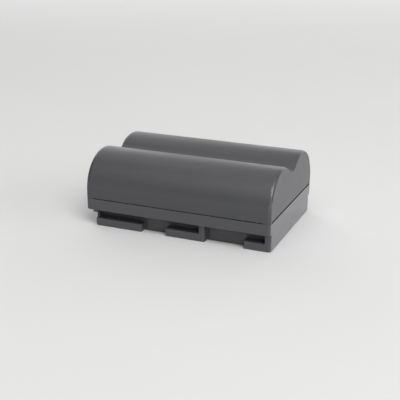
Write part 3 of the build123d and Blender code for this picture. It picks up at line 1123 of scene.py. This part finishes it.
@dataclass
class Case:
    """The two halves of the case, the crumbs of flash along their seam and the beads at its corners."""

    colour: Colour = (0.0785, 0.079, 0.0845)
    tray_shade: float = 0.94
    slots: tuple[Step, ...] = (
        (-25.1 * MM, -11.1 * MM),
        (-3.5 * MM, 6.85 * MM),
        (20.0 * MM, 26.15 * MM),
    )
    reveal_height: float = 0.2 * MM
    corner_radius: float = 1.7 * MM
    corner_cut: float = 0.5 * MM
    flash_count: int = 150
    flash_share: float = 0.45
    flash_seed: int = 4
    flash_size: float = 0.07 * MM
    flash_inset: float = 0.2 * MM
    flash_least: tuple[float, float, float] = (0.5, 0.5, 0.4)
    flash_most: tuple[float, float, float] = (2.2, 1.2, 1.0)
    bead_reach: float = 2.4 * MM
    bead_depth: float = 0.34 * MM
    bead_step: float = 0.15 * MM
    seam: float = field(init=False)
    end: float = field(init=False)
    side: float = field(init=False)

    def __post_init__(self) -> None:
        """Read the seam's height and outline from the upper half."""
        low, high = box_of(CaseHalf.UPPER.value)
        self.seam = low.z
        self.end = high.x
        self.side = high.y

    def finish(self, half: CaseHalf) -> MouldedPlastic:
        """Finish of one half; the tray is moulded smoother than the cover.

        Args:
            half: Cover or tray.

        Returns:
            The plastic.
        """
        if half is CaseHalf.UPPER:
            return MouldedPlastic(half, self.colour, roughness=0.40, seam=self.seam, end=self.end)
        return MouldedPlastic(
            half,
            shaded(self.colour, self.tray_shade),
            roughness=0.25,
            seam=self.seam,
            end=self.end,
            slots=self.slots,
            grain_depth=0.003 * MM,
            unevenness=0.03,
            polish=0.0,
            film=0.0,
            # The tray's ends are painted lighter still: painted light.
            end_painted_light=2.03,
        )

    def dress(self) -> None:
        """Give both halves their plastic."""
        for half in CaseHalf:
            dress(half.value, self.finish(half).material())

    def flash_rule(self) -> Rule:
        """Rule that strings crumbs of random size along a rounded rectangle.

        Returns:
            The rule.
        """
        rule = Rule("seam_flash")
        length, width, radius, size = rule.takes("Float", "Length", "Width", "Corner Radius", "Size")
        count, seed = rule.takes("Int", "Count", "Seed")
        [height] = rule.takes("Vector", "Height")
        outline = rule.rounded_rectangle(length, width, radius, points=6)
        seam = rule.node("GeometryNodeTransform", sockets={"Geometry": outline, "Translation": height})
        points = rule.node("GeometryNodeCurveToPoints", {"mode": "COUNT"}, {"Curve": seam, "Count": count})
        kept = rule.node(
            "FunctionNodeRandomValue",
            {"data_type": "BOOLEAN"},
            {"Probability": self.flash_share, "Seed": seed},
            output=3,
        )
        scale = rule.node(
            "FunctionNodeRandomValue",
            {"data_type": "FLOAT_VECTOR"},
            {0: self.flash_least, 1: self.flash_most, "Seed": seed},
        )
        crumb = rule.node("GeometryNodeMeshIcoSphere", sockets={"Radius": size, "Subdivisions": 1})
        crumbs = rule.node(
            "GeometryNodeInstanceOnPoints",
            sockets={"Points": points, "Selection": kept, "Instance": crumb, "Scale": scale},
        )
        rule.gives(crumbs)
        return rule

    def bead_rule(self) -> Rule:
        """Rule that sweeps a square bead round the corners of a rounded rectangle.

        Returns:
            The rule.
        """
        rule = Rule("corner_bead")
        length, width, radius = rule.takes("Float", "Length", "Width", "Corner Radius")
        start, stop, tall, deep = rule.takes("Float", "Start", "Stop", "Bead Height", "Bead Depth")
        [height] = rule.takes("Vector", "Height")
        outline = rule.rounded_rectangle(length, width, radius, points=12)
        steps = {"Curve": outline, "Length": self.bead_step}
        fine = rule.node("GeometryNodeResampleCurve", {"mode": "LENGTH"}, steps)
        line = rule.node("GeometryNodeCurveToMesh", sockets={"Curve": fine})
        place = rule.node("GeometryNodeInputPosition")
        along = abs(rule.node("ShaderNodeSeparateXYZ", sockets={"Vector": place}))
        outside = (start - along).at_least(along - stop)
        corners = rule.node(
            "GeometryNodeDeleteGeometry",
            {"domain": "POINT"},
            {"Geometry": line, "Selection": outside},
        )
        arcs = rule.node("GeometryNodeMeshToCurve", sockets={"Mesh": corners})
        level = rule.node("GeometryNodeSetCurveNormal", {"mode": "Z_UP"}, {"Curve": arcs})
        bead = rule.node(
            "GeometryNodeCurveToMesh",
            sockets={"Curve": level, "Profile Curve": rule.rectangle(deep, tall), "Fill Caps": True},
        )
        placed = rule.node("GeometryNodeTransform", sockets={"Geometry": bead, "Translation": height})
        rule.gives(placed)
        return rule

    def build(self) -> None:
        """String crumbs of flash along the seam, and close it with a bead at the corners."""
        material = self.finish(CaseHalf.UPPER).material()
        outline = {
            "Width": 2 * (self.side - self.flash_inset),
            "Corner Radius": self.corner_radius - self.flash_inset,
            "Material": material,
        }
        crumbs = {
            "Length": 2 * (self.end - self.flash_inset),
            "Height": (0.0, 0.0, self.seam - self.reveal_height),
            "Count": self.flash_count,
            "Size": self.flash_size,
            "Seed": self.flash_seed,
        }
        bead = {
            "Length": 2 * (self.end + self.corner_cut - self.flash_inset),
            "Height": (0.0, 0.0, self.seam - self.reveal_height / 2),
            "Start": self.end - self.bead_reach,
            "Stop": self.end - self.bead_depth / 2,
            "Bead Height": self.reveal_height,
            "Bead Depth": self.bead_depth,
        }
        meshes = (
            self.flash_rule().mesh("crumbs", outline | crumbs),
            self.bead_rule().mesh("corner_beads", outline | bead),
        )
        add_piece("seam_flash", joined("seam_flash", meshes, material))


@dataclass
class CellPair:
    """The two round cells with their sleeves, rings and foam bedding."""

    ring_colour: Colour = (0.55, 0.55, 0.52)

    def dress(self) -> None:
        """Give the cells and what is on them their finishes."""
        parts = {
            "": DrawnSteel().material(),
            "_sleeve": ShrinkFilm().material(),
            "_ring": FibreSheet(self.ring_colour).material(),
            "_pad": CellFoam().material(),
        }
        for cell in CELLS:
            for ending, material in parts.items():
                dress(cell + ending, material)


@dataclass
class Wiring:
    """Nickel strips that join the cells, and the sheets between them and their neighbours."""

    strips: tuple[str, ...] = ("series_link", "positive_strip", "negative_strip", "midpoint_ribbon")
    sheets: tuple[str, ...] = ("link_insulator", "board_insulator")
    weld_across: float = 1.1 * MM
    weld_up: float = 1.2 * MM

    def welds(self) -> Iterator[tuple[float, float]]:
        """Two welds each side of the slit over each cell, as places across and up.

        Yields:
            The place of one weld.
        """
        for cell in CELLS:
            centre = middle_of(cell)
            for across in (-self.weld_across, self.weld_across):
                for up in (-self.weld_up, self.weld_up):
                    yield centre.y + across, centre.z + up

    def dress(self) -> None:
        """Give the strips and sheets their finishes."""
        nickel = RolledNickel(tuple(self.welds())).material()
        paper = FibreSheet().material()
        for name in self.strips:
            dress(name, nickel)
        for name in self.sheets:
            dress(name, paper)


@dataclass(frozen=True)
class JointGrid:
    """Rows and columns of solder joints round one place on the board's face."""

    across: float
    up: float
    radius: float
    rows: int = 1
    columns: int = 1
    tall: float = 0.0
    wide: float = 0.0


@dataclass
class Board:
    """Circuit board with its parts, its solder joints and the four contacts.

    Each chip is a name and the pitch of its leads.
    """

    chips: tuple[tuple[str, float], ...] = (("protection_chip", 0.65 * MM), ("power_transistor", 1.27 * MM))
    contacts: tuple[str, ...] = (
        "positive_contact",
        "temperature_contact",
        "data_contact",
        "negative_contact",
    )
    strips: tuple[str, ...] = ("positive_strip", "negative_strip")
    strip_tail: float = 2.0 * MM
    leads: int = 4
    fuse_length: float = 3.2 * MM
    thermistor_length: float = 2.0 * MM
    chip_part_length: float = 1.6 * MM
    chip_part_width: float = 0.8 * MM
    chip_part_step: float = 2.1 * MM
    chip_part_columns: int = 3
    lead_joint: float = 0.22 * MM
    end_joint: float = 0.4 * MM
    plate_joint: float = 0.6 * MM
    joint_rise: float = 0.35 * MM
    joint_tip: float = 0.45
    joint_sides: int = 10
    joint_rings: int = 2
    face: float = field(init=False)
    top: float = field(init=False)

    def __post_init__(self) -> None:
        """Read the place of the board's face, which looks to the terminal end, and of its top edge."""
        low, high = box_of("circuit_board")
        self.face = low.x
        self.top = high.z

    def blocks(self) -> tuple[TinnedCeramic, ...]:
        """Finishes of the fuse, the thermistor and the small chip parts."""
        upright, small = LongWay.UPRIGHT, self.chip_part_length
        return (
            TinnedCeramic("fuse", LongWay.ACROSS, self.fuse_length, body=(0.5, 0.48, 0.4)),
            TinnedCeramic("thermistor", upright, self.thermistor_length, body=(0.05, 0.05, 0.055)),
            TinnedCeramic("chip_parts", upright, small, body=(0.3, 0.2, 0.12), step=self.chip_part_step),
        )

    def dress(self) -> None:
        """Give the board, its parts and the contacts their finishes."""
        dress("circuit_board", BoardLaminate().material())
        for name, _ in self.chips:
            dress(name, MouldedChip(name).material())
        for block in self.blocks():
            dress(block.node, block.material())
        plating = ContactPlating().material()
        for name in self.contacts:
            dress(name, plating)

    def joint_rule(self) -> Rule:
        """Rule that sets a grid of solder cones on the board's face.

        Returns:
            The rule.
        """
        rule = Rule("solder_joints")
        rows, columns = rule.takes("Int", "Rows", "Columns")
        tall, wide = rule.takes("Float", "Height Over All", "Width Over All")
        radius, rise = rule.takes("Float", "Radius", "Rise")
        [centre] = rule.takes("Vector", "Centre")
        grid = rule.node(
            "GeometryNodeMeshGrid",
            sockets={"Size X": tall, "Size Y": wide, "Vertices X": rows, "Vertices Y": columns},
        )
        cone = rule.node(
            "GeometryNodeMeshCone",
            {"fill_type": "NGON"},
            {
                "Vertices": self.joint_sides,
                "Side Segments": self.joint_rings,
                "Radius Top": radius * self.joint_tip,
                "Radius Bottom": radius,
                "Depth": rise,
            },
        )
        joints = rule.node("GeometryNodeInstanceOnPoints", sockets={"Points": grid, "Instance": cone})
        quarter_turn = (0.0, -math.pi / 2, 0.0)
        placed = rule.node(
            "GeometryNodeTransform",
            sockets={"Geometry": joints, "Rotation": quarter_turn, "Translation": centre},
        )
        rule.gives(placed)
        return rule

    def joint_grids(self) -> Iterator[JointGrid]:
        """Where solder holds the leads, the blocks' ends, the contacts and the strips.

        Yields:
            The joints of one part or of one row of parts.
        """
        for name, pitch in self.chips:
            place, rows = middle_of(name), self.leads
            yield JointGrid(place.y, place.z, self.lead_joint, rows, 2, pitch * (rows - 1), size_of(name).y)
        fuse, thermistor = middle_of("fuse"), middle_of("thermistor")
        yield JointGrid(fuse.y, fuse.z, self.end_joint, columns=2, wide=size_of("fuse").y)
        yield JointGrid(thermistor.y, thermistor.z, self.end_joint, rows=2, tall=size_of("thermistor").z)
        low, high = box_of("chip_parts")
        across, wide = (low.y + high.y) / 2, high.y - low.y - self.chip_part_width
        tall, columns = self.chip_part_length, self.chip_part_columns
        for up in (low.z + tall / 2, high.z - tall / 2):
            yield JointGrid(across, up, self.lead_joint, 2, columns, tall, wide)
        for name in self.contacts:
            yield JointGrid(middle_of(name).y, box_of(name)[1].z, self.plate_joint)
        for name in self.strips:
            yield JointGrid(middle_of(name).y, self.top - self.strip_tail, self.plate_joint)
        yield JointGrid(middle_of("midpoint_ribbon").y, box_of("midpoint_ribbon")[0].z, self.end_joint)

    def build(self) -> None:
        """Set the solder joints on the board's face, as one mesh."""
        material = BrightSolder().material()
        rule = self.joint_rule()
        groups = []
        for grid in self.joint_grids():
            values = {
                "Rows": grid.rows,
                "Columns": grid.columns,
                "Height Over All": grid.tall,
                "Width Over All": grid.wide,
                "Radius": grid.radius,
                "Rise": self.joint_rise,
                "Centre": (self.face, grid.across, grid.up),
                "Material": material,
            }
            groups.append(rule.mesh("solder_group", values))
        add_piece("solder_joints", joined("solder_joints", groups, material))


@dataclass(frozen=True)
class Softbox:
    """Square soft light that faces the object; angles in degrees, brightness as radiance."""

    name: str
    azimuth: float
    elevation: float
    size: float
    radiance: float
    distance: float = 1.0

    def build(self) -> None:
        """Add the light, turned to the object."""
        light = bpy.data.lights.new(self.name, "AREA")
        light.shape = "SQUARE"
        light.size = self.size
        light.energy = self.radiance * math.pi * self.size**2
        lamp = bpy.data.objects.new(self.name, light)
        bpy.context.scene.collection.objects.link(lamp)
        towards = direction(math.radians(self.azimuth), math.radians(self.elevation))
        turn = towards.to_track_quat("Z", "Y").to_matrix().to_4x4()
        lamp.matrix_world = Matrix.Translation(towards * self.distance) @ turn


@dataclass
class Studio:
    """Pale floor, soft light and the camera at the photograph's angle."""

    azimuth: float = math.radians(22.24)
    elevation: float = math.radians(19.26)
    roll: float = math.radians(0.47)
    distance: float = 249.4 * MM
    target: tuple[float, float, float] = (-0.48 * MM, 0.0, 5.32 * MM)
    focal_pixels: float = 830.3
    image_pixels: float = 400.0
    sensor: float = 36.0
    nearest: float = 5.0 * MM
    farthest: float = 10.0
    floor_radius: float = 0.8
    floor_sides: int = 96
    surroundings: float = 0.7
    lights: tuple[Softbox, ...] = (
        Softbox("right_low", 90, 8, 0.77, 2.46),
        Softbox("back_right_low", 135, 8, 0.77, 1.02),
        Softbox("back_low", 180, 8, 0.77, 0.92),
        Softbox("back_left_low", 225, 8, 0.77, 1.09),
        Softbox("front_right", 45, 27, 0.70, 1.56),
        Softbox("right", 90, 27, 0.70, 0.31),
        Softbox("back", 180, 27, 0.70, 0.83),
        Softbox("back_left", 225, 27, 0.70, 0.72),
        Softbox("front_high", -12, 50, 0.60, 1.04),
        Softbox("front_right_high", 42, 50, 0.49, 4.80),
        Softbox("back_left_high", 225, 50, 0.60, 0.50),
        Softbox("front_top", 0, 70, 0.50, 1.51),
        Softbox("right_top", 60, 70, 0.50, 1.07),
        Softbox("left_top", 240, 70, 0.50, 0.70),
    )

    def build_camera(self) -> None:
        """Set the camera where the photograph was taken from."""
        data = bpy.data.cameras.new("photo_camera")
        data.sensor_width = self.sensor
        data.lens = self.sensor * self.focal_pixels / self.image_pixels
        data.clip_start = self.nearest
        data.clip_end = self.farthest
        camera = bpy.data.objects.new("photo_camera", data)
        bpy.context.scene.collection.objects.link(camera)
        back = direction(self.azimuth, self.elevation)
        right = Vector((0, 0, 1)).cross(back).normalized()
        up = back.cross(right)
        level = right * math.cos(self.roll) + up * math.sin(self.roll)
        upright = up * math.cos(self.roll) - right * math.sin(self.roll)
        turn = Matrix((level, upright, back)).transposed().to_4x4()
        camera.matrix_world = Matrix.Translation(Vector(self.target) + back * self.distance) @ turn
        bpy.context.scene.camera = camera

    def build_floor(self) -> None:
        """Lay the pale round sheet that the object stands on."""
        radius, sides = self.floor_radius, range(self.floor_sides)
        turns = [math.tau * side / self.floor_sides for side in sides]
        rim = [(radius * math.cos(turn), radius * math.sin(turn), 0.0) for turn in turns]
        mesh = bpy.data.meshes.new("floor")
        mesh.from_pydata(rim, [], [sides])
        mesh.materials.append(PaleFloor().material())
        floor = bpy.data.objects.new("floor", mesh)
        bpy.context.scene.collection.objects.link(floor)

    def build_light(self) -> None:
        """Add the soft boxes, strongest from the front right, and pale surroundings that give no light."""
        world = bpy.data.worlds.new("room")
        world.use_nodes = True
        graph = Graph(world.node_tree)
        pale = {"Color": rgba((1, 1, 1)), "Strength": self.surroundings}
        room = graph.node("ShaderNodeBackground", sockets=pale)
        graph.node("ShaderNodeOutputWorld", sockets={"Surface": room})
        bpy.context.scene.world = world
        for ray in ("diffuse", "glossy", "transmission", "scatter"):
            setattr(world.cycles_visibility, ray, False)
        for box in self.lights:
            box.build()

    def build(self) -> None:
        """Set up camera, floor and light."""
        bpy.context.scene.view_settings.view_transform = "Standard"
        self.build_camera()
        self.build_floor()
        self.build_light()


def main() -> None:
    """Build and dress the battery, then its studio."""
    logging.basicConfig(level=logging.INFO, format="%(message)s")
    case, board = Case(), Board()
    case.build()
    board.build()
    for assembly in (case, CellPair(), Wiring(), board):
        assembly.dress()
    Studio().build()


if __name__ == "__main__":
    main()
